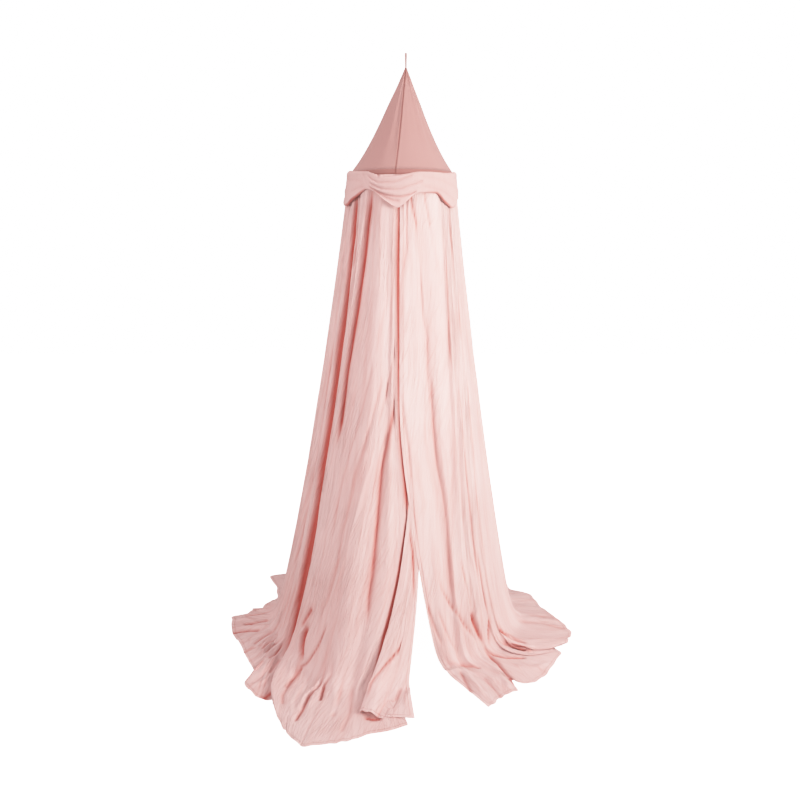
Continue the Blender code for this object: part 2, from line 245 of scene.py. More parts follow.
# ---- the hoop -----------------------------------------------------------------------
# A plain ring of plastic-coated wire in the cone's hem. It is out of sight from outside,
# so the CAD node is kept and given its coating.
coating, tree = shader_tree("white PVC coating on wire")
at = add(tree, "TexCoord")
mottle = add(tree, "TexNoise", Vector=at.outputs["Object"], Scale=90.0, Detail=3.0)
tones = ramp(tree, mottle.outputs["Fac"], "#E4E2DE", "#F2F1EE")
relief = add(tree, "Bump", Strength=0.2, Distance=0.0003, Height=mottle.outputs["Fac"])
plastic = add(tree, "BsdfPrincipled", Base_Color=tones.outputs[0], Roughness=0.38,
              Normal=relief.outputs[0])
add(tree, "OutputMaterial", Surface=plastic.outputs[0])
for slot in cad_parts["hoop"].material_slots:
    slot.material = coating

# ---- the cone -----------------------------------------------------------------------
# Washed cotton cut as a fan and sewn up along one seam, its hem turned down over the hoop
# as a casing. It hangs taut from the loop, so it has only faint pulls near the tip.
HOOP_HEIGHT = 1.9925     # middle of the hoop's wire, above the floor
HOOP_RADIUS = 0.2165
TIP_HEIGHT = 2.414
SKIRT_HEIGHT = 1.976     # top of the skirt
CASING = 0.0056          # from the middle of the wire to the middle of the cloth over it
CONE_SIDE = [
    # height above the floor, radius
    (2.414, 0.0034), (2.358, 0.0262), (2.273, 0.0655), (2.203, 0.0965), (2.118, 0.1380),
    (2.046, 0.1800), (2.008, 0.2065),
]
CONE_HEM = (1.9840, 1.9766)      # heights of the hem's last rows, under the hoop
SEAM = 6.6               # bearing of the cone's seam


def point(bearing, radius, height):
    """The point at a bearing in degrees, a radius round the hoop's middle and a height
    above the floor."""
    turn = np.radians(bearing)
    place = (HOOP_ASIDE - radius * np.sin(turn), -radius * np.cos(turn), FLOOR + height)
    return np.stack(np.broadcast_arrays(*place), axis=-1)


def cotton(name, plain, shaded, deep, crinkle=1.0, through=0.20):
    """Washed plain-weave cotton: matt, fine threads, and crinkles that wander along the
    cloth as soft furrows with thin sharp creases between them. plain is the lit, open
    cloth, shaded its duller patches and the painted shade of the shallow folds, deep the
    painted shade, darker and redder, deep in a fold, and through is how much light passes
    the cloth. Thread spacing is 0.45 mm, drawn at 1.4 mm so that it shows. The attribute
    fold, 0 on the open cloth and 1 deep in a fold, is painted shade in folds and creases."""
    made, tree = shader_tree(name)
    at = add(tree, "TexCoord").outputs["UV"]
    drift = add(tree, "TexNoise", Vector=at, Scale=3.5, Detail=2.0)
    push = add(tree, "VectorMath", {"operation": "MULTIPLY_ADD"}, in_0=drift.outputs["Color"],
               in_1=(0.06, 0.0, 0.0), in_2=at)
    long = add(tree, "Mapping", Vector=push.outputs[0], Scale=(1 / 0.030, 1 / 0.42, 1.0))
    furrows = add(tree, "TexNoise", Vector=long.outputs[0], Scale=1.0, Detail=3.0,
                  Roughness=0.5)
    heights = furrows.outputs["Fac"]
    sharp = 0.0
    for turn, wide, tall, spread in ((0.10, 0.017, 0.75, 0.030), (0.36, 0.022, 0.70, 0.024)):
        slant = add(tree, "Mapping", Vector=push.outputs[0], Rotation=(0.0, 0.0, turn))
        slant = add(tree, "Mapping", Vector=slant.outputs[0], Scale=(1 / wide, 1 / tall, 1.0),
                    Location=(3.1 * turn, 1.7, 0.0))
        veins = add(tree, "TexNoise", Vector=slant.outputs[0], Scale=1.0, Detail=2.0,
                    Roughness=0.45)
        off = add(tree, "Math", {"operation": "SUBTRACT"}, in_0=veins.outputs["Fac"], in_1=0.5)
        off = add(tree, "Math", {"operation": "ABSOLUTE"}, in_0=off.outputs[0])
        line = add(tree, "MapRange", {"interpolation_type": "SMOOTHSTEP"}, in_0=off.outputs[0],
                   in_1=0.0, in_2=spread, in_3=1.0, in_4=0.0)
        sharp = add(tree, "Math", {"operation": "MAXIMUM"}, in_0=line.outputs[0],
                    in_1=sharp).outputs[0]
    mask = add(tree, "TexNoise", Vector=at, Scale=4.5, Detail=2.0)
    mask = add(tree, "MapRange", in_0=mask.outputs["Fac"], in_1=0.40, in_2=0.65, in_3=0.45,
               in_4=1.0)
    sharp = add(tree, "Math", {"operation": "MULTIPLY"}, in_0=sharp, in_1=mask.outputs[0])
    thread = add(tree, "Mapping", Vector=at, Scale=(1 / 0.0014, 1 / 0.0014, 1.0))
    warp = add(tree, "TexWave", {"bands_direction": "X"}, Vector=thread.outputs[0], Scale=0.32,
               Distortion=0.6)
    weft = add(tree, "TexWave", {"bands_direction": "Y"}, Vector=thread.outputs[0], Scale=0.32,
               Distortion=0.6)
    weave = add(tree, "Math", {"operation": "MULTIPLY"}, in_0=warp.outputs["Fac"],
                in_1=weft.outputs["Fac"])
    relief = add(tree, "Bump", Strength=1.0, Distance=0.0042 * crinkle, Height=heights)
    relief = add(tree, "Bump", {"invert": True}, Strength=1.0, Distance=0.0012 * crinkle,
                 Height=sharp.outputs[0], Normal=relief.outputs[0])
    relief = add(tree, "Bump", Strength=0.30, Distance=0.00018, Height=weave.outputs[0],
                 Normal=relief.outputs[0])
    patches = add(tree, "TexNoise", Vector=at, Scale=2.6, Detail=3.0)
    patchy = add(tree, "MapRange", in_0=patches.outputs["Fac"], in_1=0.40, in_2=0.75,
                 in_3=0.0, in_4=0.10)
    # Painted shade in the crinkles' furrows: where the furrows sink, the colour moves towards shaded.
    furrow = add(tree, "MapRange", in_0=heights, in_1=0.52, in_2=0.30, in_3=0.0,
                 in_4=0.13 * crinkle)
    hem = add(tree, "Attribute", {"attribute_name": "hem"})
    hem = add(tree, "Math", {"operation": "COMPARE"}, in_0=hem.outputs["Fac"], in_1=0.015,
              in_2=0.0016)
    relief = add(tree, "Bump", {"invert": True}, Strength=1.0, Distance=0.0012,
                 Height=hem.outputs[0], Normal=relief.outputs[0])
    # The attribute fold is painted shade worked out from the mesh, deepest in folds and creases.
    fold = add(tree, "Attribute", {"attribute_name": "fold"})
    depth = fold.outputs["Fac"]
    # Place on the colour ramp: painted fold shade, random duller patches, painted shade in the furrows and
    # sharp creases, and the hem's darker stitch line.
    for share, more in ((1.0, patchy), (1.0, furrow), (0.15 * crinkle, sharp), (0.22, hem)):
        depth = add(tree, "Math", {"operation": "MULTIPLY_ADD"}, in_0=more.outputs[0],
                    in_1=share, in_2=depth).outputs[0]
    tones = ramp(tree, depth, plain, deep)
    tones.color_ramp.elements.new(0.42).color = linear(shaded)
    cloth = add(tree, "BsdfPrincipled", Base_Color=tones.outputs[0], Roughness=0.82,
                Sheen_Weight=0.12, Sheen_Roughness=0.5, Normal=relief.outputs[0])
    cloth.inputs["Specular IOR Level"].default_value = 0.3
    behind = add(tree, "BsdfTranslucent", Color=tones.outputs[0], Normal=relief.outputs[0])
    mixed = add(tree, "MixShader", in_0=through, in_1=cloth.outputs[0], in_2=behind.outputs[0])
    add(tree, "OutputMaterial", Surface=mixed.outputs[0])
    return made


# The cone's cotton is coloured darker than the skirt's as painted shade, for the cone gets less of the
# light.
cone_cotton_painted_shade = cotton("washed cotton, taut, darkened as painted shade", "#AE8581", "#A1746F", "#85554F", 0.06, 0.10)
height, radius = np.array(CONE_SIDE).T
rows = np.arange(len(height))
down = np.linspace(0, rows[-1], 90)
over = np.radians(np.linspace(118, 0, 14))
height = np.concatenate([smooth(rows, height, down), HOOP_HEIGHT + CASING * np.sin(over),
                         CONE_HEM])
radius = np.concatenate([smooth(rows, radius, down), HOOP_RADIUS + CASING * np.cos(over),
                         [HOOP_RADIUS + CASING] * len(CONE_HEM)])
bearing = np.linspace(SEAM, SEAM + 360, 361)[:, None]
upward = np.clip((height - HOOP_HEIGHT) / (TIP_HEIGHT - HOOP_HEIGHT), 0, 1)
pulls = sum(size * np.sin(np.radians(bearing * turns + start)) for size, turns, start in
            ((0.0012, 7, 40), (0.0009, 11, 130), (0.0007, 17, 15), (0.0005, 23, 260)))
pulls = pulls * np.clip(upward * 3, 0, 1) * np.clip((1 - upward) * 9, 0, 1)
from_seam = (np.minimum(bearing - SEAM, SEAM + 360 - bearing)) * np.pi / 180 * radius
seam_ridge = 0.0012 * np.exp(-((from_seam - 0.005) / 0.004) ** 2)
seam_groove = -0.0020 * np.exp(-(from_seam / 0.0022) ** 2)
side = point(bearing, radius + pulls + (seam_ridge + seam_groove) * np.clip(radius / 0.02, 0, 1),
             height)
side[..., 0] -= HOOP_ASIDE * upward
slope = np.concatenate([[0], np.cumsum(np.hypot(np.diff(radius), np.diff(height)))])
fan = np.radians(bearing - SEAM) * (HOOP_RADIUS / slope[-4])
# Its colour: darker along the seam's line and in a ring just below the tip, and painted shade on the casing
# under the band's top edge and on the hem below the hoop.
fold = (0.9 * np.exp(-(from_seam / 0.0028) ** 2)
        + 0.35 * np.exp(-((height - 2.40) / 0.03) ** 2)
        + 0.55 * np.clip((2.000 - height) / 0.004, 0, 1)
        + 0.45 * np.clip((1.984 - height) / 0.006, 0, 1))
cone = surface("cotton_cone", side, slope * np.sin(fan), slope * np.cos(fan), cone_cotton_painted_shade,
               {"fold": np.clip(fold, 0, 1)}, round_it=True)
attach(cone, "root")
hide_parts("cone_top")

# ---- the skirt ----------------------------------------------------------------------
# One cloth, gathered on to the cone's casing and open at the front. It hangs in uneven
# folds and lies on the floor in two long pools in front and smaller ones all round.
SKIRT_RADIUS = 0.2212
LEVELS = (SKIRT_HEIGHT, 1.10, 0.50, 0.0)
FOLDS = [
    # name, bearings, depths, hem point, lift, bow of its run on the floor
    ("left side's free edge", (-13, -12, -9.4, -2.5), (-5, -7, -3, 0), (0.046, -0.820), 6, 0),
    ("strip", (-11, -10, -5, 3), (-5, -6, 0, 3), (-0.060, -0.818), 5, 0),
    ("strip's rolled side", (-10, -9, -3, 7.5), (-5, -6, 1, 7), (-0.118, -0.812), 20, 0),
    ("pleat, turned edge", (-8.5, -8, -0.5, 11), (-4, -5, 0, 6), (-0.154, -0.797), 13, 0),
    ("pleat, turned under", (-8.2, -7.7, -0.4, 10.9), (-4, -5, -2.5, 3), (-0.142, -0.801), 3, 0),
    ("pleat, hidden back", (2, 1, -4, 4), (-2, -2.5, -6, -5), (0.020, -0.850), 2, 0),
    ("pleat, turned back", (2.2, 1.2, -3.7, 4), (-1.5, -2, -8, -7), (0.020, -0.861), 1, 0),
    ("pleat, mouth", (5.5, 4.5, 2.8, 12.8), (-0.5, -1, -4, -2), (-0.124, -0.920), 0.5, 0),
    ("narrow ridge", (8, 6.5, 6, 15), (1, 3, 6, 4), (-0.194, -0.950), 0.5, 0),
    ("hollow by the ridge", (12, 9, 12.5, 17), (1, -3, -7, -2), (-0.244, -0.965), 0, 0),
    ("broad front of the left side", (20, 17, 21, 24), (3, 10, 13, 12), (-0.329, -0.980), 0, 0),
    ("second hollow", (31, 34, 34, 36), (-3, -6, 4, 2), (-0.394, -0.925), 0, 8),
    ("ridge before the deep fold", (39, 41, 41, 44), (2, 8, 12, 14), (-0.444, -0.845), 2, 20),
    ("deep fold, upper side", (43.5, 44.5, 45.2, 48.6), (1, 5, 8, 15), (-0.474, -0.768), 9, 34),
    ("deep fold, turned edge", (45, 45.5, 46.8, 50), (0, 3, 5, 13), (-0.486, -0.730), 8, 36),
    ("deep fold, turned under", (45.3, 45.8, 46.6, 49.8), (-1, 1, 2, 9), (-0.486, -0.729), 5, 36),
    ("deep fold, hidden back", (47.5, 47.5, 47.2, 46.6), (-6, -22, -24, -18), (-0.458, -0.700), 3.5, 20),
    ("deep fold, turned back", (47.8, 47.8, 47.5, 46.6), (-7, -24, -27, -23), (-0.457, -0.699), 2, 20),
    ("deep fold, mouth", (51, 51.5, 54, 60), (-3, -9, -12, -16), (-0.510, -0.705), 0.5, 20),
    ("under piece's front", (54, 55, 57.5, 63), (0, 2, 2, -4), (-0.572, -0.656), 1.5, 0),
    ("under piece's tip", (58, 59, 61, 67), (1, 6, 5, 2), (-0.624, -0.580), 1, 0),
    ("hollow at the notch", (62, 64, 65, 70), (-3, -10, -10, -4), (-0.580, -0.545), 0, 0),
    ("left ridge", (70, 73, 74, 76), (2, 6, 8, 8), (-0.684, -0.310), 2, 0),
    ("left hollow", (79, 81, 82, 82), (-3, -10, -10, -6), (-0.780, -0.095), 0, 0),
    ("left corner", (86, 87, 88, 86), (1, 3, 2, 0), (-0.782, -0.030), 4, 0),
    ("first ruffle", (90, 91, 92, 89), (3, 7, 7, 4), (-0.716, 0.010), 0, 0),
    ("second ruffle", (95, 95, 95, 92), (0, -2, -3, 0), (-0.700, 0.046), 5, 0),
    ("third ruffle", (98, 98, 98, 95), (-2, -8, -9, -4), (-0.662, 0.060), 0, 0),
    ("rear left hollow", (101, 101, 101, 98), (-3, -12, -12, -6), (-0.632, 0.126), 4, 0),
    ("rear left ridge", (112, 111, 110, 106), (2, 8, 10, 6), (-0.600, 0.150), 0, 0),
    ("hollow 122", (124, 122, 121, 116), (-4, -14, -16, -8), (-0.624, 0.290), 0, 0),
    ("ridge 134", (136, 134, 133, 127), (2, 8, 10, 8), (-0.679, 0.410), 6, 0),
    ("hollow 149", (150, 149, 148, 144), (-5, -16, -18, -10), (-0.494, 0.520), 0, 0),
    ("ridge 164", (165, 164, 163, 160), (3, 10, 12, 8), (-0.284, 0.650), 0, 0),
    ("hollow 180", (180, 180, 179, 178), (-5, -18, -20, -10), (-0.014, 0.620), 0, 0),
    ("ridge 195", (194, 195, 196, 197), (3, 10, 12, 8), (0.216, 0.670), 0, 0),
    ("hollow 210", (208, 209, 211, 213), (-5, -15, -18, -8), (0.386, 0.540), 0, 0),
    ("ridge 224", (222, 223, 225, 228), (2, 8, 10, 8), (0.516, 0.410), 0, 0),
    ("hollow 238", (236, 237, 239, 242), (-4, -14, -14, -6), (0.545, 0.280), 0, 0),
    ("rear right ridge", (250, 251, 252, 254), (2, 8, 8, 6), (0.635, 0.200), 4, 0),
    ("rear right hollow", (262, 262, 263, 265), (-3, -8, -8, -4), (0.660, 0.100), 0, 0),
    ("right ridge", (272, 273, 275, 277), (3, 7, 7, 6), (0.730, -0.080), 2, 15),
    ("right hollow", (284, 287, 290, 290), (-3, -9, -6, -2), (0.757, -0.170), 3, 35),
    ("right fold, upper side", (297, 301, 305, 302), (1, 4, 4, 8), (0.725, -0.262), 9, 50),
    ("right fold, turned edge", (300, 304, 308, 305), (2, 4, 4, 7), (0.690, -0.302), 9, 54),
    ("right fold, turned under", (300.2, 304.2, 308.3, 305.4), (1, 3, 3, 5), (0.690, -0.301), 6, 54),
    ("right fold, hidden back", (301.5, 305.5, 309.5, 306.2), (0, 0, 0, 2), (0.660, -0.270), 5, 54),
    ("right fold, turned back", (301.7, 305.7, 309.8, 306.6), (0, 0, 0, 1), (0.660, -0.270), 4.5, 54),
    ("second edge", (302.5, 306.5, 311.5, 308), (0, 0, 1, 2), (0.640, -0.345), 4.5, 60),
    ("second edge, turned under", (302.6, 306.6, 311.7, 308.4), (0, 0, 0, 1), (0.640, -0.344), 3, 60),
    ("second edge, hidden back", (303.2, 308, 313, 309), (-1, -2, -2, -1), (0.640, -0.290), 2, 58),
    ("second edge, turned back", (303.4, 308.2, 313.3, 309.3), (-1, -2, -2, -2), (0.640, -0.290), 1, 58),
    ("right fold, mouth", (304.5, 309.5, 315, 310.5), (-1, -2, -2, -2), (0.672, -0.345), 0.5, 45),
    ("ridge in front of it", (308, 313, 318, 316), (2, 4, 5, 4), (0.612, -0.470), 0, 20),
    ("hollow 321", (311, 316, 321, 321), (-1, -3, -5, -3), (0.545, -0.560), 0, 0),
    ("ridge 324", (313.5, 319, 324, 323), (1, 3, 4, 4), (0.478, -0.590), 3, 0),
    ("hollow at the small notch", (316, 322, 328, 327), (-3, -7, -1, -2), (0.441, -0.563), 0, 0),
    ("ridge 331", (326, 331, 331, 330), (2, 5, 5, 6), (0.447, -0.631), 2, 0),
    ("long hollow on the right", (340, 340, 335, 333), (-2, -7, -9, -5), (0.405, -0.660), 0, 0),
    ("right side's broad ridge", (351, 350, 344, 338), (2, 6, 12, 12), (0.362, -0.705), 0, 0),
    ("right side's free edge", (362, 361.5, 352.8, 343), (0, -0.5, 1, 2), (0.322, -0.746), 1, 0),
]
FOOT = [
    # bearing, radius at which the plain wall reaches the floor
    (-17, .495), (-10, .530), (0, .610), (20, .655), (40, .620), (60, .580), (90, .573),
    (120, .530), (180, .480), (240, .480), (270, .505), (300, .500), (343, .495),
    (350, .530), (360, .610), (365, .620),
]
CREASES = [
    # first and last fold that they show on, and for each crease its depth in mm, how much
    #     # painted fold shade it has, its half width in mm at its top and foot, and
    #     # (bearing, height above the floor) down its length
    ("pleat, mouth", "left corner", [
        (-14, 1.0, 10, 26, ((54.5, 1.95), (53.4, 1.86), (53.1, 1.78), (51.5, 1.66), (51.4, 1.57),
         (51.7, 1.44), (53.4, 1.28), (52.5, 1.10), (53.1, 0.94), (53.4, 0.84), (53.4, 0.67), (54.4, 0.56),
         (55.4, 0.45), (56.0, 0.34), (56.7, 0.21), (57.2, 0.12), (58.0, 0.0))),
        (7, 0, 5, 6, ((46.5, 1.90), (45.7, 1.67), (44.5, 1.58), (43.5, 1.44), (44, 1.20), (45, 1.00),
         (46, 0.75), (47, 0.54))),
        (-8, 0.45, 4, 4, ((47.5, 1.93), (46.0, 1.82), (45.0, 1.76), (44.0, 1.66), (44.0, 1.55))),
        (5, 0, 5, 6, ((38.1, 1.88), (38.5, 1.76), (39.8, 1.67), (40, 1.54), (40.6, 1.40), (42, 1.25))),
        (-14, 1.0, 11, 8, ((31.0, 1.95), (32.6, 1.85), (33.8, 1.77), (34.3, 1.66), (35.5, 1.54),
         (36.3, 1.45), (37.8, 1.33), (39.0, 1.16), (38.9, 1.00), (39.1, 0.89))),
        (-8, 0.35, 4, 6, ((61.5, 1.90), (58.5, 1.67), (62.7, 1.33), (65.7, 1.20), (65.6, 1.03),
         (63.4, 0.88), (64.4, 0.71), (66.2, 0.54), (70, 0.30))),
        (-4, 0.2, 6, 6, ((80, 1.80), (77.3, 1.57), (79, 1.2), (76, 0.8), (73, 0.5))),
    ]),
    ("pleat, turned under", "broad front of the left side", [
        (-0.3, 1.0, 10, 9, ((2.2, 1.98), (2.2, 1.83), (2.7, 1.70), (2.9, 1.57), (2.7, 1.48), (2.2, 1.34),
         (1.6, 1.18), (1.2, 1.10), (0.3, 0.95), (-0.8, 0.85), (-2.0, 0.75), (-3.2, 0.62))),
    ]),
    ("pleat, turned under", "narrow ridge", [
        (-0.3, 1.0, 11, 11, ((-4.0, 0.70), (-3.0, 0.63), (-0.5, 0.50), (3.2, 0.33), (6.3, 0.21),
         (8.6, 0.10), (10.0, 0.01))),
    ]),
    ("pleat, mouth", "second hollow", [
        (-9, 0.7, 10, 7, ((2.6, 1.16), (3.4, 1.10), (5.7, 1.03), (8.3, 0.93), (10.6, 0.83), (11.4, 0.71),
         (11.9, 0.59), (12.6, 0.44), (13.6, 0.33), (13.4, 0.22))),
        (-5, 0.2, 4, 4, ((4, 1.42), (4, 1.36), (5.7, 1.26), (8.9, 1.16), (10.2, 1.05))),
        (-5, 0.2, 4, 4, ((4.7, 1.25), (8.0, 1.17), (11.1, 1.08), (13.8, 0.98))),
    ]),
    ("pleat, mouth", "ridge before the deep fold", [
        (-5, 0.2, 4, 5, ((17, 1.27), (19.7, 1.19), (24.9, 1.02), (30.1, 0.86), (33.2, 0.68), (34.3, 0.52))),
        (-5, 0.2, 4, 6, ((10, 1.24), (12.4, 1.17), (16.5, 1.04), (20.2, 0.93), (25.2, 0.76), (28.7, 0.55))),
        (-5, 0.2, 4, 6, ((14, 1.05), (18.8, 0.95), (23.2, 0.79), (27.3, 0.59), (29.2, 0.41), (35.0, 0.20))),
        (4, 0, 6, 9, ((15, 0.90), (20, 0.72), (25, 0.50), (29, 0.30), (33, 0.10))),
    ]),
    ("pleat, mouth", "deep fold, upper side", [
        (-14, 1.0, 9, 8, ((39.8, 0.260), (41.0, 0.228), (42.4, 0.200), (43.6, 0.172), (45.0, 0.140))),
        (-16, 1.0, 13, 9, ((40.4, 0.185), (41.4, 0.155), (42.3, 0.115), (42.0, 0.075), (41.0, 0.040),
         (40, 0.010))),
        (10, 0, 7, 10, ((40.5, 0.25), (42.8, 0.20), (44.2, 0.15), (44.3, 0.11), (43.8, 0.06),
         (42.5, 0.02))),
        (-8, 0.8, 4, 5, ((29, 0.24), (32, 0.16), (33.9, 0.11), (36.3, 0.06), (38.3, 0.02), (40, 0.0))),
    ]),
    ("long hollow on the right", "right side's free edge", [
        (-5, 0.3, 5, 4, ((-2.7, 1.95), (-4.7, 1.83), (-3.9, 1.75), (-4.4, 1.70), (-1.9, 1.63),
         (-1.5, 1.55))),
        (-7, 0.25, 6, 7, ((1.2, 1.14), (-1.1, 1.03), (-3.3, 0.93), (-4.8, 0.81), (-5.6, 0.69),
         (-7.5, 0.50))),
    ]),
    ("hollow at the small notch", "right side's free edge", [
        (-6, 0.6, 5, 4, ((-7.5, 1.95), (-9.4, 1.87), (-12, 1.82), (-13.5, 1.79), (-13.5, 1.73))),
        (-5, 0.45, 4, 4, ((-22, 1.95), (-23.6, 1.89), (-26.7, 1.81), (-28.5, 1.74))),
        (-5, 0.2, 5, 6, ((-16, 1.65), (-16.6, 1.57), (-17.2, 1.50), (-17.7, 1.43), (-20.7, 1.34),
         (-20.1, 1.20), (-20.6, 1.05))),
        (-8, 0.3, 7, 11, ((-21.8, 1.22), (-22.4, 1.12), (-22.8, 0.96), (-23.7, 0.83), (-26.0, 0.73),
         (-27.3, 0.62), (-27.6, 0.52), (-27.4, 0.39), (-28.0, 0.21))),
    ]),
    ("right hollow", "right side's free edge", [
        (-6, 0.3, 4, 4, ((-46.5, 1.82), (-45.6, 1.72), (-43.3, 1.52), (-42.6, 1.42), (-41.4, 1.33),
         (-41.0, 1.16))),
        (-6, 0.4, 4, 5, ((-46.6, 1.16), (-46.6, 1.09), (-47.5, 1.02), (-46.8, 0.91), (-46.9, 0.72),
         (-46.8, 0.5), (-47.1, 0.27))),
        (-5, 0.25, 5, 5, ((-58.5, 1.20), (-57.8, 1.09), (-56.8, 0.93), (-53.8, 0.67), (-53.3, 0.51),
         (-53.6, 0.34))),
        (-4, 0.2, 6, 6, ((-51.2, 1.90), (-55.3, 1.73), (-56.3, 1.60))),
        (-4, 0.2, 6, 6, ((-63.4, 1.60), (-57.1, 1.44), (-55.7, 1.30))),
        (4, 0, 8, 12, ((-36, 1.10), (-37, 0.80), (-38, 0.50), (-38, 0.20))),
    ]),
    ("right fold, mouth", "right side's free edge", [
        (-14, 1.0, 10, 9, ((-38.4, 0.205), (-39.3, 0.170), (-40.6, 0.125), (-41.8, 0.080), (-43.8, 0.030))),
    ]),
    ("hollow 238", "right fold, turned edge", [
        (-13, 1.0, 7, 7, ((-51.0, 0.200), (-52.0, 0.150), (-53.3, 0.100), (-54.5, 0.065), (-55.8, 0.042),
         (-57.3, 0.022), (-60.0, 0.0))),
    ]),
    ("right hollow", "right side's free edge", [
        (-9, 0.8, 6, 9, ((-51.2, 0.150), (-50.5, 0.110), (-48.2, 0.060), (-45.5, 0.015))),
    ]),
    ("right fold, mouth", "right side's free edge", [
        (-9, 0.55, 6, 7, ((-19.5, 0.380), (-21.2, 0.325), (-24.8, 0.269), (-30.3, 0.192), (-37.8, 0.091),
         (-43.0, 0.030))),
        (5, 0, 7, 8, ((-18.0, 0.360), (-22.5, 0.269), (-28.0, 0.192), (-35.2, 0.091), (-40.8, 0.030))),
        (-6, 0.45, 5, 5, ((-34.2, 0.450), (-36.2, 0.345), (-38.2, 0.250), (-39.2, 0.200))),
        (5, 0, 5, 5, ((-39.0, 0.450), (-40.8, 0.300), (-41.6, 0.200), (-42.4, 0.110))),
    ]),
    ("right hollow", "right side's free edge", [
        (5, 0, 5, 5, ((-42.0, 0.500), (-43.2, 0.371), (-45.1, 0.204), (-44.8, 0.100))),
        (-6, 0.5, 4, 5, ((-48.4, 0.450), (-49.2, 0.316), (-49.8, 0.207), (-51.0, 0.114))),
    ]),
    ("right fold, mouth", "right side's free edge", [
        (-6, 0.35, 5, 6, ((-11.4, 0.309), (-15.2, 0.192), (-20.4, 0.068))),
        (-6, 0.35, 5, 5, ((-17.0, 0.260), (-20.0, 0.190), (-24.0, 0.100), (-28.6, 0.033))),
    ]),
    ("strip", "pleat, turned edge", [
        (-8, 0.9, 5, 6, ((-3.1, 0.32), (-2.9, 0.25), (0.4, 0.147), (3.6, 0.106), (6.1, 0.07), (8.8, 0.03),
         (10.0, 0.0))),
        (7, 0, 6, 8, ((-4.8, 0.285), (-4.3, 0.23), (-1.6, 0.147), (1.4, 0.106), (3.8, 0.07), (6.0, 0.035))),
    ]),
    ("left side's free edge", "strip's rolled side", [
        (-6, 0.8, 5, 4, ((-3.4, 0.64), (-4.4, 0.56), (-5.5, 0.48), (-5.7, 0.40), (-5.3, 0.28))),
    ]),
]
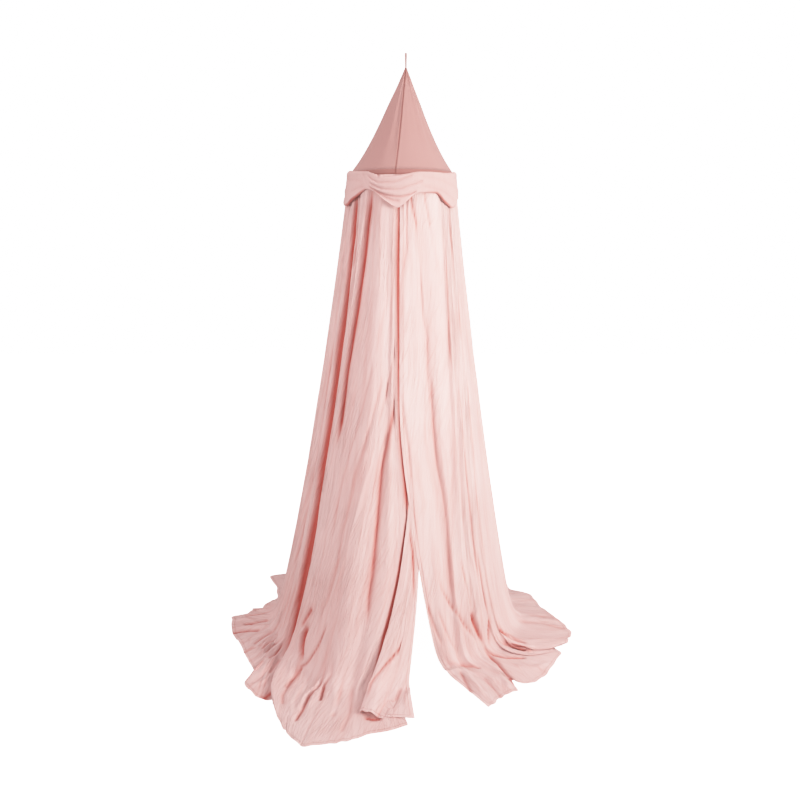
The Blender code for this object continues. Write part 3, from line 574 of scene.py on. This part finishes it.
FLOOR_CREASES = [
    # first and last fold that they show on, and for each crease its height in mm (less
    # than 0 for a groove), its half width in mm, and points on the floor down its
    # length, from the hoop's middle
    ("pleat, mouth", "deep fold, turned edge", [
        (-6, 8, ((-0.418, -0.452), (-0.418, -0.497), (-0.430, -0.560), (-0.452, -0.620))),
        (7, 12, ((-0.450, -0.380), (-0.455, -0.470), (-0.445, -0.540))),
        (-6, 5, ((-0.343, -0.505), (-0.373, -0.506), (-0.411, -0.522), (-0.429, -0.569))),
        (-13, 6, ((-0.268, -0.580), (-0.276, -0.615), (-0.303, -0.634), (-0.309, -0.711))),
        (-13, 6, ((-0.298, -0.560), (-0.318, -0.629), (-0.355, -0.679), (-0.371, -0.776),
         (-0.386, -0.832))),
        (8, 7, ((-0.288, -0.575), (-0.291, -0.604), (-0.330, -0.649), (-0.346, -0.750))),
        (7, 9, ((-0.320, -0.600), (-0.370, -0.680), (-0.388, -0.760))),
        (6, 12, ((-0.250, -0.560), (-0.262, -0.650), (-0.250, -0.780))),
        (-6, 7, ((-0.222, -0.603), (-0.234, -0.665), (-0.253, -0.809))),
        (-4, 8, ((-0.192, -0.662), (-0.192, -0.792), (-0.214, -0.894))),
        (5, 16, ((-0.400, -0.620), (-0.420, -0.740), (-0.400, -0.830))),
        (-6, 7, ((-0.433, -0.577), (-0.457, -0.676), (-0.450, -0.730))),
    ]),
    ("pleat, hidden back", "ridge before the deep fold", [
        (-16, 9, ((-0.085, -0.824), (-0.105, -0.828), (-0.125, -0.822))),
    ]),
    ("left side's free edge", "strip", [
        (-6, 7, ((-0.037, -0.766), (-0.022, -0.724), (-0.007, -0.667))),
        (5, 10, ((0.014, -0.745), (0.016, -0.700), (0.030, -0.665))),
    ]),
    ("left side's free edge", "strip's rolled side", [
        (-12, 9, ((-0.045, -0.735), (-0.066, -0.780), (-0.082, -0.830))),
    ]),
    ("deep fold, mouth", "third ruffle", [
        (-15, 8, ((-0.752, -0.178), (-0.720, -0.168), (-0.684, -0.165), (-0.643, -0.174))),
        (8, 9, ((-0.745, -0.140), (-0.690, -0.132), (-0.640, -0.140), (-0.600, -0.160))),
        (-13, 6, ((-0.690, -0.110), (-0.650, -0.120), (-0.612, -0.134))),
        (-15, 7, ((-0.710, -0.100), (-0.665, -0.090), (-0.622, -0.078))),
        (8, 9, ((-0.745, -0.060), (-0.680, -0.050), (-0.600, -0.040))),
        (-10, 6, ((-0.720, -0.030), (-0.670, -0.020), (-0.610, -0.010))),
        (8, 8, ((-0.705, 0.005), (-0.650, 0.020), (-0.590, 0.030))),
        (-6, 8, ((-0.690, 0.025), (-0.631, 0.040), (-0.580, 0.055))),
    ]),
    ("deep fold, mouth", "left hollow", [
        (-7, 5, ((-0.554, -0.188), (-0.601, -0.231), (-0.635, -0.285))),
        (6, 6, ((-0.545, -0.215), (-0.588, -0.252), (-0.622, -0.310))),
        (-7, 5, ((-0.530, -0.238), (-0.573, -0.274), (-0.596, -0.322))),
        (6, 6, ((-0.522, -0.255), (-0.563, -0.288), (-0.588, -0.340))),
        (-7, 5, ((-0.515, -0.272), (-0.553, -0.299), (-0.576, -0.351))),
        (6, 7, ((-0.510, -0.290), (-0.545, -0.330), (-0.568, -0.385))),
        (-8, 5, ((-0.512, -0.298), (-0.533, -0.366), (-0.553, -0.402))),
        (6, 12, ((-0.600, -0.200), (-0.660, -0.240), (-0.710, -0.260))),
        (-6, 8, ((-0.610, -0.300), (-0.650, -0.330), (-0.680, -0.350))),
        (-6, 6, ((-0.579, -0.432), (-0.594, -0.490))),
        (-7, 7, ((-0.510, -0.413), (-0.532, -0.503))),
        (6, 12, ((-0.530, -0.400), (-0.555, -0.470), (-0.570, -0.520))),
        (6, 10, ((-0.520, -0.540), (-0.560, -0.590), (-0.600, -0.600))),
        (-15, 14, ((-0.500, -0.640), (-0.530, -0.700))),
    ]),
    ("hollow 238", "right hollow", [
        (5, 16, ((0.440, 0.120), (0.560, 0.130), (0.640, 0.140))),
        (5, 14, ((0.450, 0.060), (0.590, 0.060), (0.690, 0.050))),
        (-6, 9, ((0.500, -0.080), (0.620, -0.030), (0.710, -0.035))),
        (-5, 9, ((0.539, -0.108), (0.633, -0.096), (0.724, -0.141))),
        (6, 16, ((0.460, -0.010), (0.600, -0.060), (0.700, -0.080))),
    ]),
    ("hollow 238", "right fold, turned edge", [
        (6, 14, ((0.420, -0.240), (0.470, -0.275), (0.530, -0.285), (0.620, -0.260))),
        (-12, 7, ((0.396, -0.270), (0.427, -0.288), (0.452, -0.292), (0.485, -0.295), (0.529, -0.302))),
        (7, 7, ((0.405, -0.298), (0.450, -0.306), (0.500, -0.316), (0.560, -0.330))),
    ]),
    ("hollow 238", "right side's free edge", [
        (-13, 7, ((0.395, -0.312), (0.412, -0.318), (0.457, -0.322), (0.503, -0.340), (0.545, -0.358))),
        (-14, 7, ((0.340, -0.372), (0.366, -0.384), (0.393, -0.394), (0.440, -0.404), (0.505, -0.400))),
    ]),
    ("right fold, mouth", "hollow at the small notch", [
        (5, 14, ((0.480, -0.470), (0.540, -0.480), (0.600, -0.440))),
    ]),
    ("right fold, mouth", "right side's free edge", [
        (-11, 7, ((0.352, -0.380), (0.396, -0.441), (0.423, -0.530), (0.452, -0.600))),
    ]),
    ("hollow at the small notch", "right side's free edge", [
        (7, 12, ((0.310, -0.400), (0.368, -0.460), (0.395, -0.540), (0.420, -0.610))),
        (-9, 8, ((0.155, -0.470), (0.200, -0.500), (0.251, -0.468), (0.312, -0.490))),
        (8, 12, ((0.180, -0.530), (0.240, -0.510), (0.310, -0.530), (0.370, -0.570))),
        (-7, 7, ((0.232, -0.500), (0.250, -0.582), (0.267, -0.650))),
        (6, 12, ((0.262, -0.540), (0.290, -0.610), (0.310, -0.670))),
        (-5, 8, ((0.330, -0.560), (0.360, -0.630), (0.380, -0.680))),
    ]),
]
FINE_CREASES = [
    # how many, first and last share of the way round, first and last distance down,
    # lean across for each metre down, most depth in mm
    (190, 0.00, 0.34, 0.05, 2.10, 0.20, 2.0),
    (70, 0.20, 0.42, 0.60, 2.60, 0.28, 2.2),
    (70, 0.42, 0.75, 0.05, 2.40, 0.05, 2.4),
    (130, 0.76, 1.00, 0.05, 1.90, 0.14, 1.6),
    (40, 0.74, 0.90, 1.90, 2.60, -0.05, 2.0),
    (90, 0.24, 0.38, 2.00, 2.60, 0.10, 3.6),
]
SEWN_SHARE = 0.4         # how much of its depth a fold has where the cloth is sewn on
FOLDS_OPEN = 0.030       # how far below that it has all of it
FLOOR_LOFT = 0.005       # how far the cloth stands off the floor half way to its hem
MID_RADIUS = 0.37        # of the wall, half way down
WALL_ROWS = 78           # rows of faces down the hanging part
FLOOR_ROWS = 38          # and out along the floor
SHOWN = (-64, 104)       # bearings between which the columns stand close
CLOSE, WIDE = 0.0050, 0.016      # from column to column there, and elsewhere
CLOTH_WIDTH = 4.2        # of the skirt, laid flat


def wall(bearing, height):
    """Radius of the skirt's plain wall: from the hoop's to the foot's, which is read at
    the bearing, by 0.72 of the share fallen and 0.28 of its square."""
    share = np.clip(1 - height / SKIRT_HEIGHT, 0, 1)
    turn = np.where(bearing < FOOT[0][0], bearing + 360, bearing)
    spread = smooth(*np.array(FOOT).T, turn) - SKIRT_RADIUS
    return SKIRT_RADIUS + spread * (0.72 * share + 0.28 * share ** 2)


def bend(distance, softness):
    """Distance where it is positive and 0 where it isn't, with a corner rounded off as a
    hyperbola: half of distance plus the root of distance squared and softness squared."""
    return (distance + np.sqrt(distance ** 2 + softness ** 2)) / 2


def between(at, first, last):
    """Whether each column, whose place in FOLDS is at, lies between two named folds."""
    names = [fold[0] for fold in FOLDS]
    return (at >= names.index(first) - 0.01) & (at <= names.index(last) + 0.01)


def crease_depth(at, bearing, height):
    """Depth of the creases in metres at each point, and how much painted shade they put
    there, ridges painted lighter: for each one its depth or tone, times a bell across
    it, flat-bottomed in a deep one, times a fade over its ends."""
    total, colour = np.zeros_like(bearing), np.zeros_like(bearing)
    for first, last, creases in CREASES:
        shown = between(at, first, last)
        for depth, tone, top, foot, path in creases:
            path = np.array(path[::-1])
            low, high = path[0, 1], path[-1, 1]
            middle = smooth(path[:, 1], path[:, 0], height)
            middle = middle + 360 * ((bearing > 180) & (middle < 180))
            half = foot + (top - foot) * np.clip((height - low) / (high - low), 0, 1)
            across = np.radians(bearing - middle) * wall(bearing, height) / (half / 1000)
            end = np.clip(0.3 * (high - low), 0.02, 0.12)
            fade = (np.clip((height - low) / end + (low == 0), 0, 1)
                    * np.clip((high - height) / end, 0, 1))
            power = 3.5 if top + foot > 20 else 1.5
            bell = np.exp(-np.abs(across) ** power) * fade ** 2 * (3 - 2 * fade) * shown
            total += depth / 1000 * bell
            # Painted shade along each crease by its tone, and ridges painted a little lighter, as lit.
            colour += tone * bell - (0.25 * bell if depth > 0 else 0)
    return total, colour


def floor_relief(at, x, y):
    """Height of the creases on the floor in metres at each point: for each one its height,
    times a bell of the distance to the nearest stretch of its line."""
    total = np.zeros_like(x)
    for first, last, creases in FLOOR_CREASES:
        shown = between(at, first, last)
        for height, half, path in creases:
            away = np.full_like(x, np.inf)
            for (x0, y0), (x1, y1) in zip(path[:-1], path[1:]):
                share = (x - x0) * (x1 - x0) + (y - y0) * (y1 - y0)
                share = np.clip(share / ((x1 - x0) ** 2 + (y1 - y0) ** 2), 0, 1)
                away = np.minimum(away, np.hypot(x - x0 - share * (x1 - x0),
                                                 y - y0 - share * (y1 - y0)))
            total += height / 1000 * np.exp(-(away / half * 1000) ** 1.6) * shown
    return total


def fine_relief(across, down, stretch, draw):
    """Height of the fine creases in metres: each has a drawn place, length, width and
    depth, leans across the cloth as it goes down, and fades out at both ends."""
    total = np.zeros_like(down)
    for count, left, right, top, foot, lean, most in FINE_CREASES:
        for _ in range(count):
            start, half = draw.uniform(left, right) * CLOTH_WIDTH, draw.uniform(0.0030, 0.0075)
            length = draw.uniform(0.10, 0.50)
            high = draw.uniform(top, foot)
            tilt = lean + draw.normal(0, 0.06)
            wave = draw.uniform(-0.02, 0.02)
            size = draw.uniform(0.35, 1.0) * most / 1000 * draw.choice((-1.0, -1.0, 1.0))
            share = (down - high) / length
            line = start + tilt * (down - high) + wave * np.sin(share * 5)
            inside = (share > 0) & (share < 1)
            away = (across - line) * stretch / half
            near = inside & (np.abs(away) < 3)
            total[near] += (size * np.exp(-np.abs(away[near]) ** 1.4)
                            * np.sin(np.pi * share[near]) ** 0.7)
    return total


def hang_skirt():
    """The skirt's points, their place on the flat cloth, the painted shade that darkens
    its folds and creases, and how far each is from the hem. A column falls along the wall
    at its bearing and depth, read between the levels, and turns out along the floor
    towards its hem point: both by bend of the distance still to fall. The creases then
    stand along the cloth's normal."""
    rows = np.arange(len(FOLDS))
    bearings, depths, hem = (np.array([fold[k] for fold in FOLDS], float) for k in (1, 2, 3))
    gap = np.maximum(np.linalg.norm(np.diff(hem, axis=0), axis=1),
                     np.radians(np.abs(np.diff(bearings[:, 1]))) * MID_RADIUS * 1.6)
    middle = (bearings[1:, 1] + bearings[:-1, 1]) / 2
    shown = (middle < SHOWN[1]) | (middle > SHOWN[0] + 360)
    counts = np.clip(np.round(gap / np.where(shown, CLOSE, WIDE)), 4, None).astype(int)
    at = np.concatenate([np.linspace(i, i + 1, count + 1)[:-1] for i, count in enumerate(counts)]
                        + [[len(FOLDS) - 1]])
    bearings, depths, hem = (smooth(rows, values, at) for values in (bearings, depths, hem))
    lift = smooth(rows, [fold[4] for fold in FOLDS], at)[:, None] / 1000
    bow = smooth(rows, [fold[5] for fold in FOLDS], at)[:, None] / 1000
    fall = SKIRT_HEIGHT * (1 - np.linspace(0, 1, WALL_ROWS + 1)) ** 1.25
    spread = np.linspace(0, 1, FLOOR_ROWS + 1)[1:]
    foot = point(bearings[:, 3], wall(bearings[:, 3], 0.0) + depths[:, 3] / 1000, 0.0)[:, :2]
    hem = hem + (HOOP_ASIDE, 0)
    run = np.linalg.norm(hem - foot, axis=1)[:, None]
    softness = 0.018 + 0.0012 * (depths[:, 3:] + 30) + 1.5 * lift
    distance = np.concatenate([np.broadcast_to(fall, (len(at), len(fall))), -run * spread], axis=1)
    height = bend(distance, softness) * SKIRT_HEIGHT / bend(SKIRT_HEIGHT, softness)
    out = bend(-distance, softness)
    level = np.clip(distance[0], 0, None)
    bearing = smooth(LEVELS[::-1], bearings.T[::-1], level).T
    gathered = np.clip((SKIRT_HEIGHT - level) / FOLDS_OPEN, SEWN_SHARE, 1)
    depth = smooth(LEVELS[::-1], depths.T[::-1], level).T / 1000 * gathered
    below = level[None, :] + 0 * bearing
    creased, colour = crease_depth(at[:, None], bearing, below)
    creased *= gathered
    resting = np.clip(out / run, 0, 1)
    wave = np.sin(at * 5.1) + np.sin(at * 8.7 + 1) + np.sin(at * 2.3 + 2)
    out = out + (0.0022 * wave)[:, None] * resting ** 6
    points = point(bearing, wall(bearing, below) + depth + creased,
                   height + (lift - 0.0005) * resting ** 0.7
                   + FLOOR_LOFT * 4 * resting * (1 - resting))
    away = (hem - foot) / run
    points[..., :2] += away[:, None, :] * out[..., None]
    points[..., 0] += bow * away[:, 1:] * 4 * resting * (1 - resting)
    points[..., 1] -= bow * away[:, :1] * 4 * resting * (1 - resting)
    steps = np.linalg.norm(np.diff(points, axis=0), axis=2)
    across = np.concatenate([[0], np.cumsum(steps[:, WALL_ROWS // 2:].mean(axis=1))])
    across = across / across[-1] * CLOTH_WIDTH
    down = np.concatenate([np.zeros((len(at), 1)),
                           np.cumsum(np.linalg.norm(np.diff(points, axis=1), axis=2), axis=1)], axis=1)
    stretch = steps / np.diff(across)[:, None]
    stretch = np.concatenate([stretch, stretch[-1:]])
    normal = np.cross(np.gradient(points, axis=0), np.gradient(points, axis=1))
    normal /= np.maximum(np.linalg.norm(normal, axis=2, keepdims=True), 1e-9)
    fine = fine_relief(across[:, None], down, np.clip(stretch, 0.2, 1.5), np.random.default_rng(7))
    laid = floor_relief(at[:, None], points[..., 0] - HOOP_ASIDE, points[..., 1])
    laid *= np.clip((out - 0.006) / 0.05, 0, 1)
    fine *= np.clip(down / 0.05, 0, 1)
    points += normal * (fine + laid)[..., None]
    points[..., 2] = np.maximum(points[..., 2], FLOOR + 0.0004)
    # Painted shade: darker and redder deep in a fold and along the listed creases, fading out on the floor,
    # and in the grooves of the fine and floor creases.
    hollow = np.clip(np.clip(-depth / 0.045, 0, 1) ** 1.3 * 0.7 + colour, 0, 1)
    hollow *= np.clip(1 - out / 0.12, 0, 1)
    fold = hollow + np.clip(-fine / 0.012, 0, 0.25) + np.clip(-laid / 0.017, 0, 0.85)
    to_side = (CLOTH_WIDTH / 2 - np.abs(across - CLOTH_WIDTH / 2))[:, None] * stretch
    hem_far = np.minimum(down[:, -1:] - down, to_side)
    return points, across[:, None], down, {"fold": np.clip(fold, 0, 1), "hem": hem_far}


# The skirt's cotton; the fold attribute on it is painted shade.
skirt_cotton = cotton("washed cotton", "#E5C4C1", "#D9A5A0", "#BC5A50")
points, across, down, shades = hang_skirt()
skirt = surface("cotton_skirt", points, across, down, skirt_cotton, shades)
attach(skirt, "root")
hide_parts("skirt")

# ---- the band -----------------------------------------------------------------------
# A loose straight band of the same cotton, coloured darker as painted shade, sewn on
# # over the hoop and tacked up at five places, so that it sags in swags between them and
# # hides the gathering seam.
BAND_ROWS = [
    # bearing, upper edge, lower edge (heights above the floor), how far the lower edge
    # stands out further than the rest, how far its last centimetre is rolled under
    (-74, 2.000, 1.887, 0.004, 0), (-66, 1.995, 1.868, 0.006, 0), (-56, 1.990, 1.851, 0.008, 0.1),
    (-45, 1.988, 1.872, 0.008, 0.8), (-36, 1.988, 1.905, 0.002, 0.4), (-20, 1.987, 1.906, 0.000, 0),
    (-11.5, 1.983, 1.897, 0.003, 0), (-6, 1.979, 1.877, 0.006, 0), (0, 1.976, 1.855, 0.008, 0),
    (4, 1.974, 1.846, 0.009, 0), (10, 1.971, 1.860, 0.009, 0), (17, 1.971, 1.879, 0.006, 0),
    (23, 1.974, 1.900, 0.003, 0), (32, 1.984, 1.917, 0.000, 0), (37, 1.990, 1.921, 0.000, 0),
    (41, 1.992, 1.912, 0.003, 0.5), (49, 1.994, 1.892, 0.009, 1), (56, 1.997, 1.878, 0.012, 1),
    (62, 1.999, 1.862, 0.012, 1), (67, 2.001, 1.861, 0.010, 0.2), (74, 2.003, 1.864, 0.006, 0),
    (108, 2.001, 1.920, 0.000, 0), (143, 2.000, 1.856, 0.006, 0), (179, 2.000, 1.920, 0.000, 0),
    (215, 2.000, 1.853, 0.006, 0), (250, 2.000, 1.918, 0.000, 0), (286, 2.000, 1.887, 0.004, 0),
]
BAND_STANDOFF = [
    # share of the way down, distance outside the plain wall of the skirt
    (0.00, 0.0024), (0.05, 0.0065), (0.14, 0.0095), (0.50, 0.0095), (1.00, 0.0085),
]
BAND_FOLDS = [
    # depth in mm, half width in mm, (bearing, height above the floor) along its length
    (-3.5, 5.0, ((37, 1.974), (30, 1.956), (23, 1.944), (10, 1.945), (-3, 1.961), (-12, 1.976))),
    (2.5, 7.0, ((35, 1.962), (29, 1.946), (20, 1.932), (8, 1.931), (-5, 1.944), (-18, 1.962))),
    (-3.5, 4.5, ((34, 1.944), (28, 1.934), (18, 1.919), (6, 1.917), (-8, 1.932), (-22, 1.952))),
    (2, 6.5, ((34, 1.938), (27, 1.922), (16, 1.908), (4, 1.903), (-8, 1.914), (-18, 1.930))),
    (-6, 4.5, ((34, 1.932), (28, 1.918), (15, 1.896), (2, 1.889), (-7, 1.897), (-15, 1.912))),
    (-5, 7, ((30, 1.912), (22, 1.900), (14, 1.884), (7, 1.874), (1, 1.872))),
    (6, 3.5, ((30, 1.916), (23, 1.899), (16.7, 1.880), (10.2, 1.861), (7, 1.853))),
    (-4, 3.0, ((29, 1.910), (22, 1.893), (15.7, 1.873), (9.5, 1.855))),
    (1, 9.0, ((49, 1.990), (45, 1.974), (40, 1.950), (36, 1.928))),
    (-1.2, 5.0, ((45, 1.992), (41, 1.972), (37.5, 1.950), (35, 1.932))),
    (-2, 8.0, ((60, 1.915), (52, 1.922), (44, 1.928), (38, 1.930))),
    (-1.5, 9.0, ((76, 1.965), (64, 1.962), (52, 1.958), (42, 1.950))),
    (-12, 3.5, ((27, 1.979), (24.5, 1.973), (22, 1.970))),
    (-2, 9.0, ((-20, 1.930), (-35, 1.922), (-50, 1.905), (-62, 1.880))),
    (-1.5, 9.0, ((-18, 1.968), (-38, 1.960), (-58, 1.945), (-72, 1.935))),
]
BACK_TACKS = (108, 179, 250)     # bearings of the tacks out of sight
BACK_REACH = 34          # degrees that their folds reach to each side
BAND_FLAT_RADIUS = 0.23  # that gives the length of the band, laid flat
bearings, upper, lower, outward, rolled = np.array(BAND_ROWS).T
bearing = np.concatenate([np.linspace(-74, 80, 421), np.linspace(80, 286, 160)[1:]])[:, None]
share = np.linspace(0, 1, 91)
top, low, flare, roll = (smooth(bearings, values, bearing[:, 0])[:, None]
                         for values in (upper, lower, outward, rolled))
height = top + (low - top) * share + 0.004 * np.sin(np.pi * np.clip(share / 0.2, 0, 1))
radius = wall(bearing, height) + smooth(*np.array(BAND_STANDOFF).T, share) + flare * share ** 2
tuck = np.zeros_like(height)
for depth, half, path in BAND_FOLDS:
    path = np.array(path)[np.argsort([row[0] for row in path])]
    line = smooth(path[:, 0], path[:, 1], bearing)
    fade = (np.clip((bearing - path[0, 0]) / 3, 0, 1) * np.clip((path[-1, 0] - bearing) / 3, 0, 1))
    tuck += depth / 1000 * np.exp(-np.abs((height - line) / half * 1000) ** 1.6) * fade
for centre in BACK_TACKS:
    reach = (bearing - centre) / BACK_REACH
    for row, depth in enumerate((-0.005, 0.004, -0.005, 0.004)):
        line = 1.905 + 0.022 * (3 - row) * np.abs(reach) - 0.012 * row * np.abs(reach)
        tuck += (depth * np.exp(-((height - line) / 0.006) ** 2) * np.exp(-reach ** 2 * 2)
                 * np.clip(np.abs(reach) * 6, 0.3, 1))
edge = np.clip((share - 0.94) / 0.06, 0, 1)
turned = roll * np.clip((height - low) / -0.009 + 1, 0, 1)
clear = np.clip(share / 0.08, 0, 1)
radius = radius + tuck * clear - 0.0025 * edge ** 2 - 0.007 * turned ** 1.5
band_points = point(bearing, np.maximum(radius, wall(bearing, height) + 0.0022), height)
down = np.cumsum(np.abs(np.diff(height, axis=1, prepend=height[:, :1])), axis=1)
# Painted shade: darker in the swags' grooves, in a line along the top edge under the cone, and on the
# rolled-under lower edge.
fold = np.clip(-tuck / 0.022, 0, 0.40) + 0.25 * np.exp(-(share / 0.04) ** 2) + 0.9 * np.sqrt(turned)
band_cotton_painted_shade = cotton("washed cotton, band, darkened as painted shade", "#D4B0AD", "#C79591", "#C0635A", 0.35)
band = surface("cotton_band", band_points, np.radians(bearing) * BAND_FLAT_RADIUS, down, band_cotton_painted_shade,
               {"fold": np.clip(fold, 0, 1)}, round_it=True)
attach(band, "root")
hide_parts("band")
